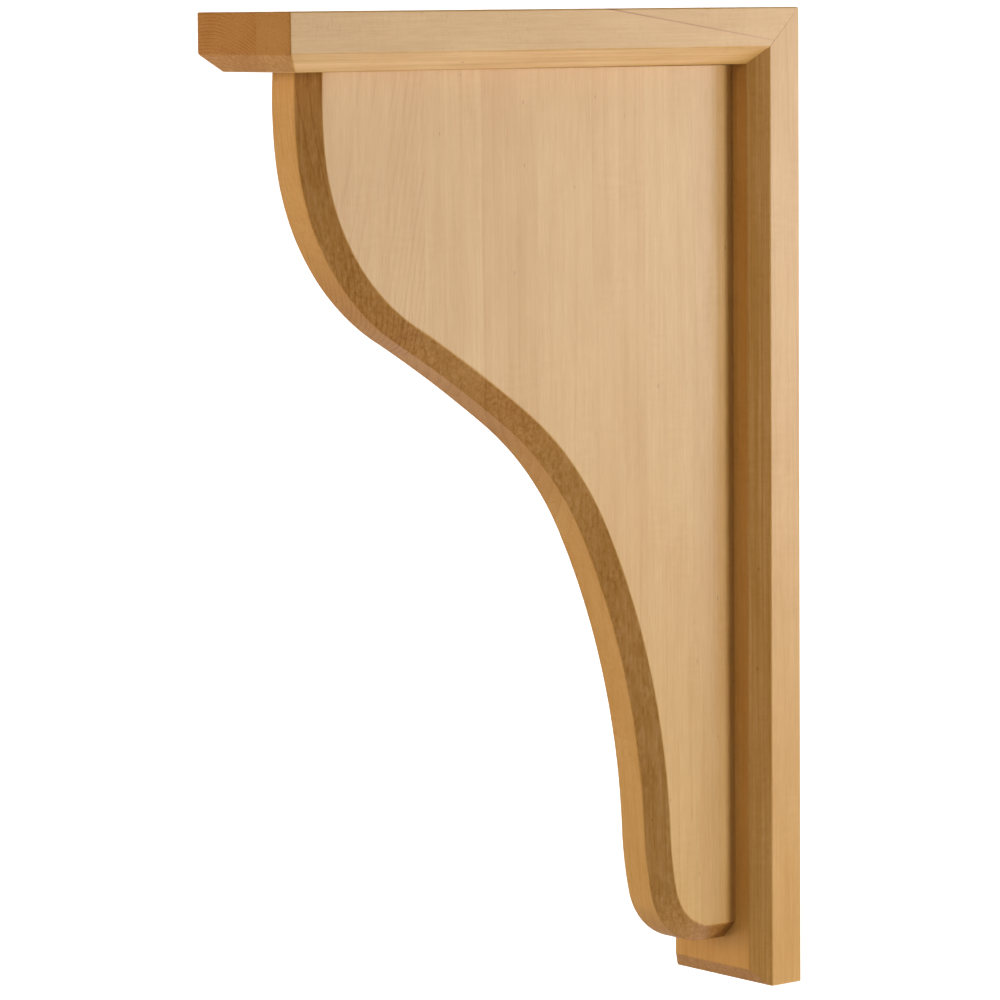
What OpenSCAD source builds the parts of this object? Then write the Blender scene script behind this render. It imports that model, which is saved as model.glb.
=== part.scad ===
// Wooden corbel bracket that carries a counter or shelf from a wall. A top plate and a back plate
// meet in a mitre, and a curved web stands between them in the middle of their width.
//
// X runs across the bracket, Y from the front (-Y) to the wall (+Y) and Z up. The origin is the
// middle of the back plate's wall face.

/* [Boards] */
// Height of the bracket, from the counter face to the foot of the back plate
bracket_h = 457; // [440:1:520]
// Projection of the bracket, from the wall face to the front of the top plate
bracket_l = 292; // [280:1:330]
// Width of the top plate and of the back plate
board_w = 68; // [56:1:90]
// Thickness of the top plate and of the back plate
board_t = 26; // [20:1:32]
// Size of the 45 degree chamfer along the inner edges of both boards
board_chamfer = 7.8; // [3:0.1:10]

/* [Web] */
// Thickness of the web
web_t = 33.4; // [24:0.2:40]
// Size of the 45 degree chamfer along both sides of the web's curved edge
web_chamfer = 8.5; // [3:0.5:10]
// Distance from the front of the top plate back to the start of the web's edge
web_setback = 21.2; // [12:0.2:30]
// Height of the web's underside above the foot of the back plate
foot_gap = 21; // [10:0.5:36]
// Flat stretch of the web's underside, between the toe and the back plate
toe_flat = 13.4; // [4:0.2:20]

/* [Web curve] */
// Angle by which the edge leans forward where it leaves the top plate
lean = 4; // [0:0.5:6]
// Radius of the shoulder, the flat bow below the top plate
shoulder_r = 198; // [150:1:260]
// Angle through which the shoulder turns
shoulder_sweep = 12; // [8:0.5:16]
// Radius of the belly, the round bow below the shoulder
belly_r = 109; // [90:0.5:118]
// Angle through which the belly turns
belly_sweep = 51.5; // [48:0.5:54]
// Angle through which the ramp turns, the slight hollow between belly and hollow
ramp_sweep = 6; // [4:0.5:9]
// Radius of the hollow, where the edge turns down again
hollow_r = 147; // [120:1:170]
// Angle through which the hollow turns
hollow_sweep = 27; // [24:0.5:30]
// Angle through which the throat turns, the long slack bow that leads down to the foot
throat_sweep = 24; // [21:0.5:26]
// Radius of the instep, the flat bow above the toe
instep_r = 176; // [120:1:220]
// Angle through which the instep turns
instep_sweep = 10; // [6:0.5:14]
// Radius of the toe, the round corner at the foot of the web
toe_r = 32; // [24:1:38]

/* [Hidden] */
$fa = 2;
$fs = 1;

maple = [0.85, 0.71, 0.52];
web_maple = [0.82, 0.66, 0.46];

top_z = bracket_h / 2;
foot_z = -bracket_h / 2;
underside_z = top_z - board_t;

// Depth to which the bands along the web's edge reach into it, and where its flat core begins
band_depth = web_chamfer + 12;
core_depth = web_chamfer + 6;
// Length by which the tighter of two bows runs on inside its neighbour, so that they join well
lap = 2;
// Length by which the shoulder runs on above the top plate's underside, to be cut off there
overrun = 20;
// Angle between two corners of the core's outline along a bow
core_step = 8;

// The web's edge is followed from the top plate down to the back plate, in the plane of Y and Z.
// Its heading is an angle up from +Y, and the web lies on the left of it.
function left_of(heading) = [-sin(heading), cos(heading)];

// Step from one end of a bow to the other; a bow with a negative radius turns to the right
function bow_step(radius, h_in, h_out) = radius * (left_of(h_in) - left_of(h_out));

// Headings of the edge where one bow hands over to the next
h_top = -90 - lean;
h_belly = h_top + shoulder_sweep;
h_ramp = h_belly + belly_sweep;
h_hollow = h_ramp - ramp_sweep;
h_throat = h_hollow - hollow_sweep;
h_instep = h_throat - throat_sweep;
h_toe = h_instep + instep_sweep;
h_foot = 0;

edge_start = [-bracket_l + web_setback, underside_z];
edge_end = [-board_t - toe_flat, foot_z + foot_gap];

// The ramp and the throat get the radii that bring the edge from its start to its end
known_steps = bow_step(shoulder_r, h_top, h_belly) + bow_step(belly_r, h_belly, h_ramp)
    + bow_step(-hollow_r, h_hollow, h_throat) + bow_step(instep_r, h_instep, h_toe)
    + bow_step(toe_r, h_toe, h_foot);
step_left = edge_end - edge_start - known_steps;
ramp_way = bow_step(-1, h_ramp, h_hollow);
throat_way = bow_step(-1, h_throat, h_instep);
ramp_r = cross(step_left, throat_way) / cross(ramp_way, throat_way);
throat_r = cross(ramp_way, step_left) / cross(ramp_way, throat_way);

// The bows in order: signed radius, heading at both ends, and the length by which the bow runs
// on past each end
BOWS = [
    [shoulder_r, h_top, h_belly, overrun, 0],
    [belly_r, h_belly, h_ramp, lap, lap],
    [-ramp_r, h_ramp, h_hollow, 0, lap],
    [-hollow_r, h_hollow, h_throat, 0, 0],
    [-throat_r, h_throat, h_instep, lap, 0],
    [instep_r, h_instep, h_toe, lap, 0],
    [toe_r, h_toe, h_foot, lap, lap],
];

// Where the bow at this place in the order starts
function bow_start(i) =
    i == 0 ? edge_start
           : bow_start(i - 1) + bow_step(BOWS[i - 1][0], BOWS[i - 1][1], BOWS[i - 1][2]);

// Section of a board: its outer face lies on y = 0 and its chamfered inner face on y = -board_t
module board_section() {
    half_w = board_w / 2;
    side = board_t - board_chamfer;
    polygon([[-half_w, 0], [half_w, 0], [half_w, -side], [half_w - board_chamfer, -board_t],
             [board_chamfer - half_w, -board_t], [-half_w, -side]]);
}

// Solid across the board's width from an outline in the plane of Y and Z
module across(width) {
    rotate([90, 0, 90]) linear_extrude(width, center = true) children();
}

// Horizontal board: mitred at the wall, chamfered below along both sides and the front
module top_plate() {
    color(maple) intersection() {
        translate([0, 0, top_z]) rotate([90, 0, 0])
            linear_extrude(bracket_l) board_section();
        across(board_w)
            polygon([[0, top_z], [-bracket_l, top_z], [-bracket_l, underside_z + board_chamfer],
                     [-bracket_l + board_chamfer, underside_z], [-board_t, underside_z]]);
    }
}

// Vertical board against the wall: mitred at the top, chamfered in front along both sides and
// the foot
module back_plate() {
    color(maple) intersection() {
        translate([0, 0, foot_z]) linear_extrude(bracket_h) board_section();
        across(board_w)
            polygon([[0, top_z], [-board_t, underside_z], [-board_t, foot_z + board_chamfer],
                     [board_chamfer - board_t, foot_z], [0, foot_z]]);
    }
}

// Section of the band along the web's edge. The edge lies at the given distance from the axis,
// and the web lies inwards of it for a turn of 1 and outwards of it for a turn of -1.
module band_section(distance, turn) {
    face = web_t / 2;
    nose = face - web_chamfer;
    inner = distance - turn * band_depth;
    corner = distance - turn * web_chamfer;
    polygon([[inner, -face], [corner, -face], [distance, -nose],
             [distance, nose], [corner, face], [inner, face]]);
}

module bow_band(i) {
    radius = BOWS[i][0];
    size = abs(radius);
    turn = sign(radius);
    degrees_per_mm = 180 / (PI * size);
    h_in = BOWS[i][1] - turn * BOWS[i][3] * degrees_per_mm;
    h_out = BOWS[i][2] + turn * BOWS[i][4] * degrees_per_mm;
    centre = bow_start(i) + radius * left_of(BOWS[i][1]);
    translate([centre.x, centre.y, 0])
        rotate_extrude(angle = abs(h_out - h_in), start = turn > 0 ? h_in - 90 : h_out + 90)
            band_section(size, turn);
}

// Corners of the core's outline along one bow
function core_corners(i) =
    let (radius = BOWS[i][0], h_in = BOWS[i][1], h_out = BOWS[i][2],
         steps = ceil(abs(h_out - h_in) / core_step))
    [for (k = [0:steps]) let (heading = h_in + (h_out - h_in) * k / steps)
        bow_start(i) + bow_step(radius, h_in, heading) + core_depth * left_of(heading)];

// Flat middle of the web, out to the two boards
module core() {
    inner_edge = [for (i = [0:len(BOWS) - 1]) each core_corners(i)];
    linear_extrude(web_t, center = true)
        polygon(concat([[edge_start.x + core_depth, underside_z]], inner_edge,
                       [[-board_t, edge_end.y + core_depth], [-board_t, underside_z]]));
}

// Band along the flat underside of the foot
module foot_band() {
    translate([edge_end.x, edge_end.y, 0]) rotate([90, 0, 90])
        linear_extrude(toe_flat) band_section(0, -1);
}

// Web with its S-shaped chamfered edge, cut flat where it meets the top plate
module web_panel() {
    color(web_maple) rotate([90, 0, 90]) difference() {
        union() {
            core();
            for (i = [0:len(BOWS) - 1]) bow_band(i);
            foot_band();
        }
        translate([-bracket_l, underside_z, -web_t])
            cube([bracket_l, 2 * overrun, 2 * web_t]);
    }
}

top_plate();
back_plate();
web_panel();
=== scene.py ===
# Looks of the wooden corbel bracket: three maple pieces with eased edges, in a pale studio.
#
# The frame is the CAD model's, in metres: X runs across the bracket, Y from the front (-Y) to
# the wall (+Y) and Z up. The origin is the middle of the back plate's wall face.
import math
from collections import namedtuple

import bmesh
import bpy
from mathutils import Matrix, Vector


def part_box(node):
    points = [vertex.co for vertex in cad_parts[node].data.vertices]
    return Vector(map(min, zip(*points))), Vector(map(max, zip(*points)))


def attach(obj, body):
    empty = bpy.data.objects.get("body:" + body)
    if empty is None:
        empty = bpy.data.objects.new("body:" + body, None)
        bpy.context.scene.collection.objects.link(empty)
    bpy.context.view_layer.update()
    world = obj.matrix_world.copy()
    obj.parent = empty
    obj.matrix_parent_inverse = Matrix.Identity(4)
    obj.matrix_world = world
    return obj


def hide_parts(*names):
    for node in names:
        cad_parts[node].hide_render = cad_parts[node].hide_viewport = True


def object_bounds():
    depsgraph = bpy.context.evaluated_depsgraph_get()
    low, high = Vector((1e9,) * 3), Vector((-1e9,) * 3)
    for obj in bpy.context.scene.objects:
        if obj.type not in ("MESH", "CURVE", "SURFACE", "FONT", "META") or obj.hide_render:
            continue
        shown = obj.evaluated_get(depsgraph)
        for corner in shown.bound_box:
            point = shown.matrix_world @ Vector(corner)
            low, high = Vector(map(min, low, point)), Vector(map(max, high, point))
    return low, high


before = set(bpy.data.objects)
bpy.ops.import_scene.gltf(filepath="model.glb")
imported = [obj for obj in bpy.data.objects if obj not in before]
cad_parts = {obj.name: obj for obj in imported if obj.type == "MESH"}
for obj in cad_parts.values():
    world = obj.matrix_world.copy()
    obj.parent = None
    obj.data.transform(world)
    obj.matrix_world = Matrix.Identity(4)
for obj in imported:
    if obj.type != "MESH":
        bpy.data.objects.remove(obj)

CAD_LOW, CAD_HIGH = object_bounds()
TOP_LOW, TOP_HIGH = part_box("top_plate")
BACK_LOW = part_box("back_plate")[0]
WEB_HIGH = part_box("web_panel")[1]

# ---- Sizes of the boards ------------------------------------------------------------------
BOARD_WIDTH = CAD_HIGH.x - CAD_LOW.x
BOARD_THICKNESS = TOP_HIGH.z - TOP_LOW.z
BOARD_CHAMFER = 0.0078
# Radius to which the arrises are eased, and the much finer one along the mitre
BOARD_EASE = 0.0007
MITRE_EASE = 0.00007
# Radius to which the outer corner of the mitre is sanded
CORNER_EASE = 0.0018

# ---- Sizes of the web ---------------------------------------------------------------------
WEB_FACE = WEB_HIGH.x
WEB_CHAMFER = 0.0085
# Radius to which the chamfer's arrises are eased, how much sanding by hand varies it, and the
# lengths along the edge in which it does
WEB_EASE = 0.0015
WEB_EASE_VARIES = 0.25
SANDING_WAVES = (0.083, 0.031)
# Ease of the web's edges where it meets the boards
CONTACT_EASE = 0.0004
# How far the curved edge starts behind the front of the top plate; the flat stretch between its
# end and the back plate, and the height of that stretch above the foot
WEB_SETBACK = 0.0212
TOE_FLAT = 0.0134
FOOT_GAP = 0.021
# Ends of the curved edge, in the plane of Y and Z
EDGE_START = Vector((CAD_LOW.y + WEB_SETBACK, TOP_LOW.z))
EDGE_END = Vector((BACK_LOW.y - TOE_FLAT, CAD_LOW.z + FOOT_GAP))
# Heading of the edge where it leaves the top plate, as an angle up from +Y
START_HEADING = math.radians(-94)
# The bows of the edge from the top plate down: radius and angle, which is positive where the
# edge turns towards the web. The ramp and the throat have no radius of their own: they get
# those that bring the edge from its start to its end.
BOWS = (
    (0.198, 12),
    (0.109, 51.5),
    (None, -6),
    (0.147, -27),
    (None, -24),
    (0.176, 10),
    (0.032, 77.5),
)
RAMP = 2
THROAT = 4
# Longest step along the edge, and the number of steps round each eased arris
STATION_STEP = 0.0018
ARC_STEPS = 5
# Width of the flat side that is swept along with the chamfer
BAND_MARGIN = 0.004

# ---- Camera -------------------------------------------------------------------------------
CAMERA_PLACE = Vector((1.6701, -1.5019, CAD_HIGH.z + 0.0019))
CAMERA_AZIMUTH = math.radians(51.063)
CAMERA_TILT = math.radians(-5.913)
CAMERA_ROLL = math.radians(-0.506)
SENSOR_WIDTH = 36
FOCAL_LENGTH = 171.98


# ---- Mesh helpers -------------------------------------------------------------------------
def new_object(name, bm):
    """An object in the scene, made from a finished bmesh and shaded smooth."""
    mesh = bpy.data.meshes.new(name)
    bmesh.ops.recalc_face_normals(bm, faces=bm.faces)
    bm.to_mesh(mesh)
    bm.free()
    mesh.shade_smooth()
    made = bpy.data.objects.new(name, mesh)
    bpy.context.scene.collection.objects.link(made)
    return made


def cut_away(bm, point, normal):
    """Cuts off what lies beyond the plane and closes the cut with one face, which it returns."""
    everything = bm.verts[:] + bm.edges[:] + bm.faces[:]
    bmesh.ops.bisect_plane(bm, geom=everything, dist=1e-7, plane_co=point, plane_no=normal,
                           clear_outer=True)
    rim = [edge for edge in bm.edges if edge.is_boundary]
    return bmesh.ops.edgeloop_fill(bm, edges=rim)["faces"]


def round_edges(bm, edges, width, segments):
    """Rounds the edges to the given width."""
    bmesh.ops.bevel(bm, geom=edges, offset=width, offset_type="OFFSET", segments=segments,
                    profile=0.5, affect="EDGES", clamp_overlap=False)


def keep_flats_flat(piece):
    """Lets the large faces decide the shading, so that they stay flat in the light."""
    normals = piece.modifiers.new("flat faces", "WEIGHTED_NORMAL")
    normals.keep_sharp = True


# ---- Boards -------------------------------------------------------------------------------
def board(name, length, place):
    """A board that is mitred at its start and chamfered along the sides and the end of its
    inner face. It is made with its length along local Z and its depth along local Y."""
    bm = bmesh.new()
    bmesh.ops.create_cube(bm, size=1)
    overrun = BOARD_THICKNESS
    bmesh.ops.scale(bm, vec=(BOARD_WIDTH, BOARD_THICKNESS, length + overrun), verts=bm.verts)
    middle = (0, BOARD_THICKNESS / 2, (length - overrun) / 2)
    bmesh.ops.translate(bm, vec=middle, verts=bm.verts)
    side = BOARD_THICKNESS - BOARD_CHAMFER
    for sign in (-1, 1):
        cut_away(bm, (sign * BOARD_WIDTH / 2, side, 0), (sign, 1, 0))
    cut_away(bm, (0, side, length), (0, 1, 1))
    arrises = [edge for edge in bm.edges if max(vert.co.z for vert in edge.verts) > 0]
    round_edges(bm, arrises, BOARD_EASE, 4)

    mitre = cut_away(bm, (0, 0, 0), (0, 1, -1))[0]
    round_edges(bm, mitre.edges[:], MITRE_EASE, 1)
    # This board's half of the corner outside the mitre, sanded round in three cuts
    for degrees in (45, 30, 15):
        outward = Vector((0, -math.cos(math.radians(degrees)), -math.sin(math.radians(degrees))))
        cut_away(bm, CORNER_EASE * (Vector((0, 1, 1)) + outward), outward)
    for edge in bm.edges:
        edge.smooth = edge.calc_face_angle() < math.radians(40)
    bmesh.ops.transform(bm, matrix=place, verts=bm.verts)
    piece = new_object(name, bm)
    keep_flats_flat(piece)
    return piece


def top_board():
    """The horizontal board: its length runs towards -Y and its depth goes down."""
    place = Matrix(((1, 0, 0, 0), (0, 0, -1, 0), (0, -1, 0, CAD_HIGH.z), (0, 0, 0, 1)))
    return board("top-board", CAD_HIGH.y - CAD_LOW.y, place)


def back_board():
    """The upright board: its length runs down and its depth goes towards -Y."""
    place = Matrix(((1, 0, 0, 0), (0, -1, 0, 0), (0, 0, -1, CAD_HIGH.z), (0, 0, 0, 1)))
    return board("back-board", CAD_HIGH.z - CAD_LOW.z, place)


# ---- Web ----------------------------------------------------------------------------------
def left_of(heading):
    """Direction to the left of a heading, in the plane of Y and Z; the web lies there."""
    return Vector((-math.sin(heading), math.cos(heading)))


def bows():
    """Signed radius of each bow of the curved edge and its heading at both ends."""
    headings = [START_HEADING]
    for _, sweep in BOWS:
        headings.append(headings[-1] + math.radians(sweep))
    spans = list(zip(headings, headings[1:]))
    turns = [math.copysign(1, sweep) for _, sweep in BOWS]
    ways = [turn * (left_of(first) - left_of(last)) for turn, (first, last) in zip(turns, spans)]
    radii = [radius for radius, _ in BOWS]
    left = EDGE_END - EDGE_START
    for radius, way in zip(radii, ways):
        if radius is not None:
            left = left - radius * way
    ramp_way, throat_way = ways[RAMP], ways[THROAT]
    radii[RAMP] = left.cross(throat_way) / ramp_way.cross(throat_way)
    radii[THROAT] = ramp_way.cross(left) / ramp_way.cross(throat_way)
    return [(turn * radius, *span) for turn, radius, span in zip(turns, radii, spans)]


def stations():
    """Points along the curved edge, from the top plate to the back plate, with the heading
    and the distance along the edge at each."""
    found = []
    point = EDGE_START
    run = 0
    for radius, first, last in bows():
        centre = point + radius * left_of(first)
        length = radius * (last - first)
        steps = math.ceil(length / STATION_STEP)
        for step in range(steps):
            heading = first + (last - first) * step / steps
            found.append((centre - radius * left_of(heading), heading, run + length * step / steps))
        point = centre - radius * left_of(last)
        run += length
    found.append((point, 0, run))
    found.append((Vector((BACK_LOW.y, EDGE_END.y)), 0, run + BACK_LOW.y - EDGE_END.x))
    return found


def sanded(run):
    """Radius of the eased arrises at a distance along the edge."""
    waves = sum(math.sin(2 * math.pi * run / length + length * 100) for length in SANDING_WAVES)
    return WEB_EASE * (1 + WEB_EASE_VARIES * waves / len(SANDING_WAVES))


def half_section(ease):
    """Section of the band from the middle of its nose to its flat side: pairs of the depth
    into the web and the distance from its middle plane."""
    reach = ease * math.tan(math.radians(22.5))
    nose_arris = (ease, WEB_FACE - WEB_CHAMFER - reach)
    side_arris = (WEB_CHAMFER + reach, WEB_FACE - ease)
    points = [(0, 0)]
    for centre, first in ((nose_arris, 0), (side_arris, 45)):
        for step in range(ARC_STEPS + 1):
            angle = math.radians(first + 45 * step / ARC_STEPS)
            depth = centre[0] - ease * math.cos(angle)
            points.append((depth, centre[1] + ease * math.sin(angle)))
    points.append((WEB_CHAMFER + BAND_MARGIN, WEB_FACE))
    return points


def web():
    """The upright panel with its chamfered S-shaped edge: a band swept along the edge, closed
    by two flat sides and by the faces that meet the boards."""
    bm = bmesh.new()
    rows = []
    for point, heading, run in stations():
        half = half_section(sanded(run))
        section = [(depth, -across) for depth, across in reversed(half[1:])] + half
        row = []
        for depth, across in section:
            place = point + depth * left_of(heading)
            if not rows:
                # The first section slides along its heading to the top plate's underside
                place += (TOP_LOW.z - place.y) / math.tan(heading) * Vector((1, 0))
                place.y = TOP_LOW.z
            row.append(bm.verts.new((across, place.x, place.y)))
        rows.append(row)
    for row, following in zip(rows, rows[1:]):
        for corners in zip(row, row[1:], following[1:], following):
            bm.faces.new(corners)
    left_top = bm.verts.new((-WEB_FACE, BACK_LOW.y, TOP_LOW.z))
    right_top = bm.verts.new((WEB_FACE, BACK_LOW.y, TOP_LOW.z))
    bm.faces.new([row[0] for row in rows] + [left_top])
    bm.faces.new([row[-1] for row in rows] + [right_top])
    bm.faces.new(rows[0] + [right_top, left_top])
    bm.faces.new(rows[-1] + [right_top, left_top])

    def at_board(edge):
        ends = [vert.co for vert in edge.verts]
        at_top = all(abs(end.z - TOP_LOW.z) < 1e-6 for end in ends)
        at_back = all(abs(end.y - BACK_LOW.y) < 1e-6 for end in ends)
        return at_top or at_back

    round_edges(bm, [edge for edge in bm.edges if at_board(edge)], CONTACT_EASE, 2)
    piece = new_object("web-board", bm)
    keep_flats_flat(piece)
    return piece


# ---- Materials ----------------------------------------------------------------------------
class Shader:
    """Short forms for the nodes of one material. An input is a number, a tuple or a socket."""

    def __init__(self, name):
        self.material = bpy.data.materials.new(name)
        self.material.use_nodes = True
        self.tree = self.material.node_tree
        self.surface = self.tree.nodes["Principled BSDF"]

    def put(self, socket, value):
        if isinstance(value, bpy.types.NodeSocket):
            self.tree.links.new(value, socket)
        else:
            socket.default_value = value

    def node(self, kind, **inputs):
        made = self.tree.nodes.new(kind)
        for name, value in inputs.items():
            self.put(made.inputs[name.replace("_", " ")], value)
        return made

    def math(self, operation, first, second=0.0, third=0.0, clamp=False):
        made = self.tree.nodes.new("ShaderNodeMath")
        made.operation = operation
        made.use_clamp = clamp
        for socket, value in zip(made.inputs, (first, second, third)):
            self.put(socket, value)
        return made.outputs[0]

    def add(self, first, second):
        return self.math("ADD", first, second)

    def times(self, first, second):
        return self.math("MULTIPLY", first, second)

    def scaled(self, value, factor, offset):
        """The value times the factor, plus the offset."""
        return self.math("MULTIPLY_ADD", value, factor, offset)

    def vector(self, operation, first, second):
        made = self.tree.nodes.new("ShaderNodeVectorMath")
        made.operation = operation
        self.put(made.inputs[0], first)
        self.put(made.inputs[1], second)
        return made.outputs["Value" if operation == "DOT_PRODUCT" else "Vector"]

    def split(self, vector):
        return self.node("ShaderNodeSeparateXYZ", Vector=vector).outputs

    def join(self, x, y, z):
        return self.node("ShaderNodeCombineXYZ", X=x, Y=y, Z=z).outputs[0]

    def ramp(self, value, low, high, to_low=0.0, to_high=1.0):
        """A smooth step from to_low at low to to_high at high."""
        made = self.tree.nodes.new("ShaderNodeMapRange")
        made.interpolation_type = "SMOOTHSTEP"
        for socket, number in zip(made.inputs, (value, low, high, to_low, to_high)):
            self.put(socket, number)
        return made.outputs[0]

    def noise(self, place, size, detail=2.0, roughness=0.5):
        """Noise between 0 and 1, with features of the given sizes in millimetres."""
        scaled = self.vector("DIVIDE", place, size)
        made = self.node("ShaderNodeTexNoise", Vector=scaled, Scale=1.0, Detail=detail,
                         Roughness=roughness)
        return made.outputs[0]

    def swing(self, place, size, detail=2.0, roughness=0.5):
        """The same noise, between -0.5 and 0.5."""
        return self.math("SUBTRACT", self.noise(place, size, detail, roughness), 0.5)

    def pick(self, flags, values):
        """The value whose flag is 1, where the others are 0."""
        total = 0.0
        for flag, value in zip(flags, values):
            total = self.scaled(flag, value, total)
        return total

    def mix(self, amount, first, second, blend="MIX"):
        made = self.tree.nodes.new("ShaderNodeMix")
        made.data_type = "RGBA"
        made.blend_type = blend
        self.put(made.inputs[0], amount)
        self.put(made.inputs[6], first)
        self.put(made.inputs[7], second)
        return made.outputs[2]

    def tint(self, amount, colour, filter_colour):
        """The colour, seen through a filter where the amount is 1."""
        return self.mix(amount, colour, self.mix(1.0, colour, filter_colour, "MULTIPLY"))


# Base colours of the wood, and the filters that its marks lay over them
PALE = (0.60, 0.341, 0.104, 1)
HONEY = (0.555, 0.279, 0.068, 1)
RING_BROWN = (0.62, 0.40, 0.16, 1)
STREAK_RED = (0.90, 0.74, 0.58, 1)
FLECK_BROWN = (0.42, 0.27, 0.18, 1)
END_GRAIN = (0.66, 0.52, 0.39, 1)
END_GRAIN_PALE = (0.88, 0.78, 0.62, 1)
RAY_BROWN = (0.80, 0.70, 0.58, 1)
# Filter for the slopes: their real mottle, and painted shade that darkens them
SLOPE_MOTTLE_AND_SHADE_BROWN = (0.56, 0.41, 0.24, 1)

# How one strip of wood was cut: its tone from 0, pale, to 1, honey; how much its growth rings
# lean along the length, across the strip and across the board; the pith, from the middle of the
# strip and along the board's other axis; the width of a ring; how far the rings wander; and how
# dark and wide the line at the end of a ring is. Sizes are in millimetres.
Strip = namedtuple("Strip", "tone lean_across lean_other pith_across pith_other ring wander line")

# The web's strips, from the front to the wall
WEB_STRIPS = (
    Strip(0.50, -0.20, 0, -70, -30, 2.4, 7, 0.26),
    Strip(0.30, 0.02, 0, -45, -37, 4.5, 8, 0.14),
    Strip(0.58, 0.00, 0, 55, 60, 5.5, 7, 0.18),
    Strip(0.20, -0.01, 0, -50, -30, 4.8, 7, 0.14),
    Strip(0.45, 0.00, 0, 45, 65, 6.5, 9, 0.18),
    Strip(0.15, 0.01, 0.01, -35, -45, 5.0, 6, 0.16),
    Strip(0.60, 0.00, 0, 5, -80, 6.0, 6, 0.14),
)
# Width of a stave, and where the first one would start if it were no wider than the others
STAVE_WIDTH = 31.9
STAVES_START = -238.7
# The two strips of the top plate, from the far side to the near side
TOP_STRIPS = (
    Strip(0.90, 0.01, 0, 12, 150, 1.5, 5, 0.14),
    Strip(0.35, 0, 0.152, 0, 373.4, 80, 0.6, 1.3),
)
# Where these two meet
TOP_GLUE_LINE = 9.5
# The back plate is one strip
BACK_STRIPS = (
    Strip(0.80, 0.01, 0.01, -58, -61, 5.5, 9, 0.18),
)
# A strip of the plates is given more than a board's width, so that it reaches past the sides
PLATE_STRIP = 100
# How far apart in the tree two neighbouring strips are taken, outwards and along the trunk
TREE_SHIFT_OUT = 173
TREE_SHIFT_ALONG = 611


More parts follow.
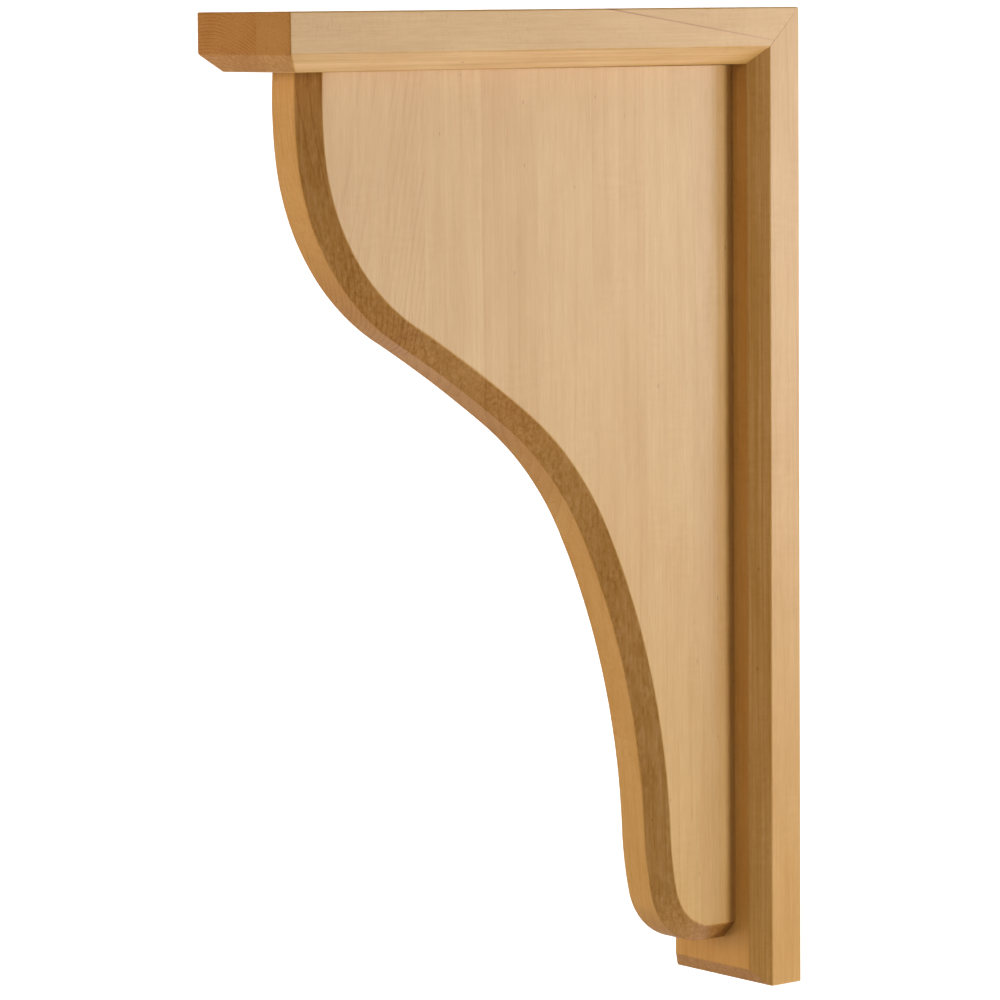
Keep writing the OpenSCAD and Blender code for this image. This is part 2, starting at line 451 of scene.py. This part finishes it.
class Maple(Shader):
    """Clear-finished maple, glued up from strips. Sizes here are in millimetres."""

    def __init__(self, name, along, glue, first_border, strip_width, strips, slope_mottle_and_shade_strength=0.0):
        """`along` is the axis of the grain and `glue` the one across which the strips follow
        each other, the first of them from `first_border` on. The last argument is how strongly
        the slopes are mottled and darkened with painted shade."""
        super().__init__(name)
        self.slope_mottle_and_shade_strength = slope_mottle_and_shade_strength
        self.find_strip(along, glue, first_border, strip_width, strips)
        self.find_facing(along, glue)
        self.find_rings()
        self.fibres = self.swing(self.wood, (1.1, 1.1, 55), 3, 0.6)
        self.threads = self.swing(self.wood, (0.45, 0.45, 9), 2, 0.6)
        self.patches = self.ramp(self.noise(self.wood, (14, 14, 22), 2), 0.42, 0.60)

        colour = self.clear_wood()
        colour = self.add_rays(colour)
        colour = self.add_ring_lines(colour)
        colour = self.add_streaks(colour)
        colour = self.add_slope_mottle_and_painted_shade(colour)
        colour = self.add_flecks(colour)
        colour = self.add_end_grain(colour)
        self.put(self.surface.inputs["Base Color"], colour)
        self.coat()

    def find_strip(self, along, glue, first_border, strip_width, strips):
        """Each strip has its own settings and its own place in the tree. The first one also
        takes in what lies before its border."""
        metres = self.tree.nodes.new("ShaderNodeTexCoord").outputs["Object"]
        self.place = self.vector("MULTIPLY", metres, (1000, 1000, 1000))
        axes = dict(zip("xyz", self.split(self.place)))
        self.length = axes.pop(along)
        self.across = axes.pop(glue)
        self.other = axes.popitem()[1]
        from_border = self.math("SUBTRACT", self.across, first_border)
        index = self.math("FLOOR", self.math("DIVIDE", from_border, strip_width))
        self.index = self.math("MAXIMUM", index, 0)
        flags = [self.math("COMPARE", self.index, number, 0.1) for number in range(len(strips))]
        self.cut = Strip(*[self.pick(flags, values) for values in zip(*strips)])
        self.middle = self.scaled(self.add(self.index, 0.5), strip_width, first_border)
        self.wood = self.join(self.across, self.scaled(self.index, TREE_SHIFT_OUT, self.other),
                              self.scaled(self.index, TREE_SHIFT_ALONG, self.length))

    def find_facing(self, along, glue):
        """How far the surface cuts across the fibres, and where it is the slope of a chamfer,
        between a face and an edge."""
        normal = self.tree.nodes.new("ShaderNodeNewGeometry").outputs["Normal"]
        facing = dict(zip("xyz", self.split(normal)))
        self.end = self.ramp(self.math("ABSOLUTE", facing.pop(along)), 0.25, 1.0)
        facing_across = facing.pop(glue)
        facing_other = facing.popitem()[1]
        self.sideways = self.join(facing_across, facing_other, 0.0)
        square = self.times(facing_other, facing_other)
        self.slope = self.times(self.times(square, self.math("SUBTRACT", 1.0, square)), 4.0)

    def find_rings(self):
        """Growth rings round the pith, wandering along the length and of uneven widths."""
        cut = self.cut
        from_across = self.math("SUBTRACT", self.across, self.middle)
        from_across = self.math("SUBTRACT", from_across, cut.pith_across)
        from_across = self.scaled(self.length, cut.lean_across, from_across)
        from_other = self.math("SUBTRACT", self.other, cut.pith_other)
        from_other = self.scaled(self.length, cut.lean_other, from_other)
        from_pith = self.join(from_across, from_other, 0.0)
        radius = self.math("SQRT", self.vector("DOT_PRODUCT", from_pith, from_pith))
        outward = self.vector("DOT_PRODUCT", from_pith, self.sideways)
        self.outward = self.math("ABSOLUTE", self.math("DIVIDE", outward, radius))
        radius = self.scaled(self.swing(self.wood, (50, 50, 190), 3), cut.wander, radius)
        years = self.math("DIVIDE", radius, cut.ring)
        uneven = self.swing(self.join(years, self.index, 0.5), (1.3, 1, 1), 1)
        phase = self.math("FRACT", self.scaled(uneven, 0.9, years))
        self.late = self.ramp(phase, 0.35, 1.0)
        to_end = self.times(self.math("SUBTRACT", 1.0, phase), cut.ring)
        width = self.scaled(cut.line, 0.6, 0.6)
        self.line = self.ramp(self.math("DIVIDE", to_end, width), 0.2, 0.8, 1.0, 0.0)
        self.fading = self.ramp(self.noise(self.wood, (20, 20, 110), 2), 0.3, 0.62, 0.25, 1.0)

    def clear_wood(self):
        """Tone of the strip with its fibres, its cloudy figure, the ripples that run across the
        grain in places and the darker late wood of each ring."""
        clouds = self.swing(self.wood, (15, 15, 60), 3)
        tone = self.scaled(self.cut.tone, 0.8, 0.1)
        tone = self.scaled(clouds, 0.9, tone)
        tone = self.scaled(self.fibres, 0.9, tone)
        colour = self.mix(self.math("ADD", tone, 0, clamp=True), PALE, HONEY)

        bright = self.scaled(clouds, -0.16, 1.0)
        bright = self.scaled(self.threads, -0.26, bright)
        growth = self.swing(self.wood, (1.5, 1.5, 130), 3, 0.6)
        growth = self.times(growth, self.scaled(self.slope, 0.7, 0.2))
        bright = self.math("SUBTRACT", bright, growth)
        ripples = self.swing(self.wood, (9, 9, 2.2), 2)
        rippled = self.ramp(self.noise(self.wood, (34, 34, 55), 1), 0.45, 0.65)
        bright = self.scaled(self.times(rippled, ripples), -0.14, bright)
        late = self.times(self.late, self.scaled(self.end, 0.10, 0.03))
        bright = self.math("SUBTRACT", bright, self.times(self.fading, late))
        # Where the wood is darker it is also browner
        shade = self.join(*[self.math("POWER", bright, power) for power in (0.8, 1.1, 2.8)])
        return self.mix(1.0, colour, shade, "MULTIPLY")

    def add_rays(self, colour):
        """Short dashes where the surface cuts straight towards the pith."""
        rays = self.ramp(self.noise(self.wood, (3.2, 3.2, 0.7), 2, 0.6), 0.50, 0.75, 0.0, 0.5)
        quartered = self.ramp(self.outward, 0.25, 0.6, 1.0, 0.0)
        return self.tint(self.times(self.times(rays, self.patches), quartered), colour, RAY_BROWN)

    def add_ring_lines(self, colour):
        """Lines at the ends of the rings, plainer on slopes and where they are cut across."""
        plain_here = self.scaled(self.slope, 0.8, self.scaled(self.end, 0.9, 0.7))
        drawn = self.times(self.cut.line, plain_here)
        drawn = self.math("MULTIPLY", self.times(self.line, self.fading), drawn, clamp=True)
        return self.tint(drawn, colour, RING_BROWN)

    def add_streaks(self, colour):
        """Short red streaks along the fibres."""
        streaks = self.ramp(self.noise(self.wood, (1.5, 1.5, 38), 1), 0.70, 0.80)
        streaked = self.ramp(self.noise(self.wood, (30, 30, 60), 1), 0.5, 0.62)
        return self.tint(self.times(streaks, streaked), colour, STREAK_RED)

    def add_slope_mottle_and_painted_shade(self, colour):
        """The slopes get a fine mottle, and painted shade that makes them darker than the flats."""
        shade_and_mottle = self.swing(self.wood, (1.5, 1.5, 4), 3, 0.6)
        shade_and_mottle = self.scaled(shade_and_mottle, self.ramp(self.patches, 0.0, 1.0, 0.5, 1.1), 0.55)
        # The mottle swings round 0.55: that mean is painted shade on the slopes, the swing is the
        # real mottle
        slope_mottle_and_shade = self.times(self.times(self.slope, self.slope_mottle_and_shade_strength), shade_and_mottle)
        return self.tint(slope_mottle_and_shade, colour, SLOPE_MOTTLE_AND_SHADE_BROWN)

    def add_flecks(self, colour):
        """Small brown flecks along the fibres."""
        fleck = self.tree.nodes.new("ShaderNodeTexVoronoi")
        self.put(fleck.inputs["Vector"], self.vector("DIVIDE", self.wood, (6, 6, 15)))
        self.put(fleck.inputs["Scale"], 1.0)
        spots = self.ramp(fleck.outputs["Distance"], 0.04, 0.09, 1.0, 0.0)
        chance = self.ramp(self.split(fleck.outputs["Color"])[0], 0.62, 0.9)
        spots = self.times(self.times(spots, chance), self.scaled(self.end, 0.5, 0.5))
        return self.tint(spots, colour, FLECK_BROWN)

    def add_end_grain(self, colour):
        """Cut across, the wood is darker and duller, with open pores."""
        pores = self.noise(self.place, (0.55, 0.55, 0.55), 2, 0.7)
        end_tint = self.mix(self.ramp(pores, 0.3, 0.7), END_GRAIN, END_GRAIN_PALE)
        return self.tint(self.end, colour, end_tint)

    def coat(self):
        """A satin coat, rougher on end grain, through which the fibres can just be felt."""
        rough = self.scaled(self.end, 0.12, 0.36)
        self.put(self.surface.inputs["Roughness"], self.scaled(self.fibres, 0.12, rough))
        self.surface.inputs["Specular IOR Level"].default_value = 0.27
        height = self.scaled(self.fibres, 0.5, self.threads)
        bump = self.node("ShaderNodeBump", Strength=0.25, Distance=0.00005, Height=height)
        self.put(self.surface.inputs["Normal"], bump.outputs[0])


def backdrop_white():
    """Matt white, as on the floor and wall of a studio."""
    white = Shader("backdrop-white")
    white.surface.inputs["Base Color"].default_value = (0.68, 0.68, 0.68, 1)
    white.surface.inputs["Roughness"].default_value = 0.9
    white.surface.inputs["Specular IOR Level"].default_value = 0.2
    return white.material


# ---- Studio -------------------------------------------------------------------------------
FLOOR_DROP = 0.8
FLOOR_RADIUS = 3.6
COVE_RADIUS = 1.4
WALL_HEIGHT = 3.2
COVE_STEPS = 12
ROUND_STEPS = 96
# Point at which the lamps aim
MIDDLE = Vector((0, -0.1, 0))


def studio():
    """A pale round floor that curves up into a wall all round."""
    floor_z = CAD_LOW.z - FLOOR_DROP
    profile = [(0, floor_z), (FLOOR_RADIUS, floor_z)]
    for step in range(1, COVE_STEPS + 1):
        angle = math.radians(90 * step / COVE_STEPS)
        profile.append((FLOOR_RADIUS + COVE_RADIUS * math.sin(angle),
                        floor_z + COVE_RADIUS * (1 - math.cos(angle))))
    profile.append((FLOOR_RADIUS + COVE_RADIUS, floor_z + WALL_HEIGHT))
    bm = bmesh.new()
    verts = [bm.verts.new((radius, 0, height)) for radius, height in profile]
    edges = [bm.edges.new(pair) for pair in zip(verts, verts[1:])]
    bmesh.ops.spin(bm, geom=verts + edges, cent=(0, 0, 0), axis=(0, 0, 1),
                   angle=2 * math.pi, steps=ROUND_STEPS)
    bmesh.ops.remove_doubles(bm, verts=bm.verts, dist=1e-5)
    backdrop = new_object("backdrop", bm)
    backdrop.data.flip_normals()
    backdrop.data.materials.append(backdrop_white())


def softbox(name, place, target, width, height, power, colour):
    """A rectangular lamp aimed at a point. The camera doesn't see it."""
    lamp = bpy.data.lights.new(name, "AREA")
    lamp.shape = "RECTANGLE"
    lamp.size = width
    lamp.size_y = height
    lamp.energy = power
    lamp.color = colour
    made = bpy.data.objects.new(name, lamp)
    made.location = place
    made.rotation_euler = (Vector(target) - Vector(place)).to_track_quat("-Z", "Y").to_euler()
    made.visible_camera = False
    bpy.context.scene.collection.objects.link(made)
    return made


def from_bearing(degrees, distance, height):
    """A place at a bearing round the bracket, from +X towards +Y."""
    angle = math.radians(degrees)
    return MIDDLE + Vector((distance * math.cos(angle), distance * math.sin(angle), height))


def wall_wash(name, bearing, power):
    """A lamp with a grid that lights only the wall at a bearing, from above."""
    lamp = softbox(name, from_bearing(bearing, 2.4, 2.1), from_bearing(bearing, 3.9, -0.3),
                   2.2, 1.2, power, (1, 1, 1))
    lamp.data.spread = math.radians(112)


def lights():
    """Lamps round the bracket: bright on the near side, warmer and dimmer in front."""
    softbox("key", from_bearing(27, 1.9, -0.05), MIDDLE, 0.6, 0.9, 22.7, (0.97, 1.015, 1.03))
    sheen = softbox("sheen", from_bearing(50, 1.7, 0.12), MIDDLE, 0.35, 0.7, 16.5, (1, 1, 1))
    softbox("under", (0.3, 0.6, -0.85), MIDDLE, 0.4, 0.4, 6, (1, 0.98, 1))
    fill = softbox("fill", from_bearing(-128, 1.8, -0.15), MIDDLE, 1.0, 1.4, 19.5, (1, 0.87, 0.74))
    front = softbox("front", from_bearing(-80, 2.0, 0.7), MIDDLE, 0.8, 0.8, 8, (1, 0.84, 0.66))
    softbox("top", (-0.3, 0.1, 1.9), MIDDLE, 1.0, 1.0, 12, (1, 1, 1))
    wall_wash("sweep", 140, 92)
    wall_wash("west", 182, 34)
    wall_wash("north", 92, 34)
    wall_wash("apron", -43, 20)
    # One lamp gives only the sheen on the panel, and the two on the shade side give none
    sheen.visible_diffuse = False
    for lamp in (fill, front):
        lamp.visible_glossy = False
    world = bpy.data.worlds.new("studio air")
    world.use_nodes = True
    background = world.node_tree.nodes["Background"]
    background.inputs["Color"].default_value = (1, 1, 1, 1)
    background.inputs["Strength"].default_value = 0.02
    bpy.context.scene.world = world


def camera():
    """The camera, level with the top of the bracket and about halfway from its side round to
    its front."""
    lens = bpy.data.cameras.new("camera")
    lens.sensor_width = SENSOR_WIDTH
    lens.lens = FOCAL_LENGTH
    made = bpy.data.objects.new("camera", lens)
    turned = (Matrix.Rotation(CAMERA_AZIMUTH, 4, "Z")
              @ Matrix.Rotation(math.pi / 2 + CAMERA_TILT, 4, "X")
              @ Matrix.Rotation(CAMERA_ROLL, 4, "Z"))
    made.matrix_world = Matrix.Translation(CAMERA_PLACE) @ turned
    bpy.context.scene.collection.objects.link(made)
    bpy.context.scene.camera = made


# ---- The bracket --------------------------------------------------------------------------
def fit(piece, node, wood):
    """Puts a finished piece in the place of its CAD node."""
    piece.data.materials.append(wood.material)
    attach(piece, "root")
    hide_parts(node)


camera()
fit(top_board(), "top_plate",
    Maple("maple-top", "y", "x", TOP_GLUE_LINE - PLATE_STRIP, PLATE_STRIP, TOP_STRIPS))
# The last number sets the slopes' mottle and painted shade: none on the top plate, some on the back
# plate, full on the web
fit(back_board(), "back_plate",
    Maple("maple-back", "z", "x", -PLATE_STRIP / 2, PLATE_STRIP, BACK_STRIPS, 0.4))
fit(web(), "web_panel",
    Maple("maple-web", "z", "y", STAVES_START, STAVE_WIDTH, WEB_STRIPS, 1.0))
studio()
lights()
bpy.context.scene.view_settings.view_transform = "Standard"
